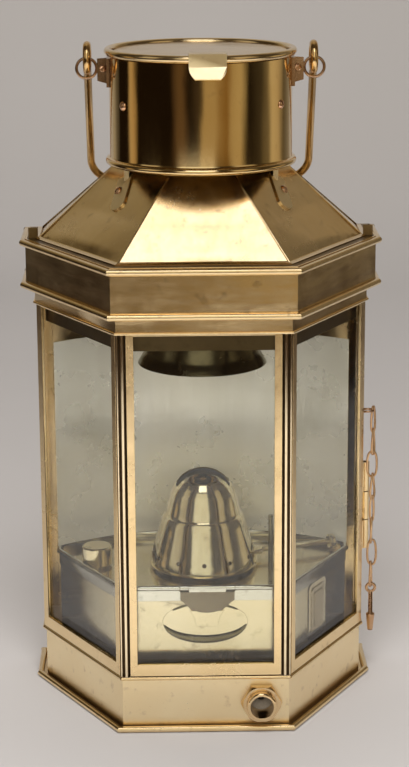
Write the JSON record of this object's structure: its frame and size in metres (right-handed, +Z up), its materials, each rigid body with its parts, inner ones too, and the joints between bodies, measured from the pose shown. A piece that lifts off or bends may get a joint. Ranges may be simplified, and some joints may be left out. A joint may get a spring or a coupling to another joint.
{
  "type": "ship lantern",
  "caption": "Half-hexagonal brass ship lantern: three glazed sides, hipped roof, drum chimney with hinged lid, wire bail, back door, oil lamp with reflector, chained drop pin.",
  "frame": {"origin": "on the surface the lantern stands on, midway between its sides and between its front and back, under the chimney's axis to within a millimetre", "axes": "+Z up, the glazed front faces -Y, the back door faces +Y, +X is the side with the latch and chain"},
  "size_m": [0.2399, 0.1527, 0.4393],
  "materials": {
    "polished_brass": "polished, lacquered, lightly scratched",
    "dull_brass": "dull, unpolished inner face",
    "gland_brass": "turned and worn",
    "smoked_brass": "blackened by smoke",
    "lamp_brass": "bright, slightly silvery",
    "burner_brass": "bright, slightly silvery",
    "handle_brass": "smooth drawn wire",
    "chain_brass": "coppery, worn",
    "copper": "copper rivet heads",
    "tarnished_copper": "dark tarnish",
    "hinge_silver": "plated, brushed",
    "silvered_reflector": "silvered, cloudy",
    "clear_glass": "clear, faint green at the edges",
    "pale_seal": "soft moulded",
    "wick_cotton": "woven cotton"
  },
  "bodies": {
    "case": {"back_frame": "polished_brass", "base_box": "polished_brass", "base_flange": "polished_brass", "base_floor": "dull_brass", "burner_dome": "burner_brass", "burner_gallery": "burner_brass", "cap_band": "polished_brass", "chain_staple": "tarnished_copper", "chimney_shell": "polished_brass", "chimney_straps": "polished_brass", "corner_posts": "polished_brass", "dome_rivets": "copper", "door_hinge_frame_leaves": "polished_brass", "door_hinge_pins": "tarnished_copper", "filler_neck": "lamp_brass", "gland_body": "gland_brass", "gland_locknut": "gland_brass", "gland_nut": "gland_brass", "gland_seal": "pale_seal", "glass_front": "clear_glass", "glass_retainer": "dull_brass", "glass_side": "clear_glass", "handle_brackets": "tarnished_copper", "handle_rings": "tarnished_copper", "latch_wall_knuckles": "polished_brass", "lid_hinge_leaf": "polished_brass", "lid_hinge_pin": "tarnished_copper", "lug_rivets": "copper", "oil_tank": "lamp_brass", "reflector": "silvered_reflector", "roof_facets": "polished_brass", "roof_ledge": "polished_brass", "roof_neck": "dull_brass", "roof_top": "dull_brass", "side_walls": "polished_brass", "smoke_funnel": "smoked_brass", "tank_flap_leaf": "hinge_silver", "tank_flap_pin": "hinge_silver", "tank_rim": "hinge_silver", "tank_side_panel": "lamp_brass", "tank_upright": "smoked_brass", "top_fascia": "polished_brass", "wick_tube": "burner_brass", "window_frame_front": "polished_brass", "window_frames_side": "polished_brass"},
    "lid": {"lid_disc": "polished_brass", "lid_rim": "polished_brass", "lid_thumb_tab": "polished_brass", "lid_knuckle": "polished_brass"},
    "bail": {"bail": "handle_brass"},
    "door": {"door_panel": "polished_brass", "door_hinge_door_leaves": "polished_brass", "latch_door_knuckle": "polished_brass"},
    "chain": {"chain_links": "chain_brass"},
    "pin": {"locking_pin": "chain_brass"},
    "filler_cap": {"filler_cap": "lamp_brass"},
    "tank_flap": {"tank_flap": "lamp_brass"},
    "winder": {"winder_shaft": "burner_brass", "winder_knob": "burner_brass"},
    "wick": {"wick": "wick_cotton"}
  },
  "joints": [
    {"name": "bail_swing", "type": "hinge", "parent": "case", "child": "bail", "pos_m": [0, 0, 0.42865], "axis": [1, 0, 0], "range_deg": [0, 300]},
    {"name": "lid_hinge", "type": "hinge", "parent": "case", "child": "lid", "pos_m": [0, 0.0642, 0.4311], "axis": [-1, 0, 0], "range_deg": [0, 100]},
    {"name": "door_hinge", "type": "hinge", "parent": "case", "child": "door", "pos_m": [-0.107, 0.071, 0.15], "axis": [0, 0, 1], "range_deg": [0, 110]},
    {"name": "chain_swing", "type": "hinge", "parent": "case", "child": "chain", "pos_m": [0.1163, 0.034, 0.187], "axis": [1, 0, 0], "range_deg": [-50, 10]},
    {"name": "pin_swing", "type": "hinge", "parent": "chain", "child": "pin", "pos_m": [0.1163, 0.034, 0.06285], "axis": [1, 0, 0], "range_deg": [-50, 50]},
    {"name": "filler_cap_turn", "type": "hinge", "parent": "case", "child": "filler_cap", "pos_m": [-0.0712, 0.001, 0.098], "axis": [0, 0, 1], "continuous": true},
    {"name": "tank_flap_hinge", "type": "hinge", "parent": "case", "child": "tank_flap", "pos_m": [0, -0.0543, 0.0934], "axis": [-1, 0, 0], "range_deg": [0, 11]},
    {"name": "winder_turn", "type": "hinge", "parent": "case", "child": "winder", "pos_m": [0.066, 0.021, 0.0962], "axis": [0.9511, 0.309, 0], "range_deg": [-77, 115]},
    {"name": "wick_slide", "type": "slide", "parent": "case", "child": "wick", "axis": [0, 0, 1], "range_m": [-0.00398, 0.00597]}
  ],
  "couplings": [
    {"joint": "winder_turn", "follows": "wick_slide", "rad_per_m": 333.33}
  ]
}
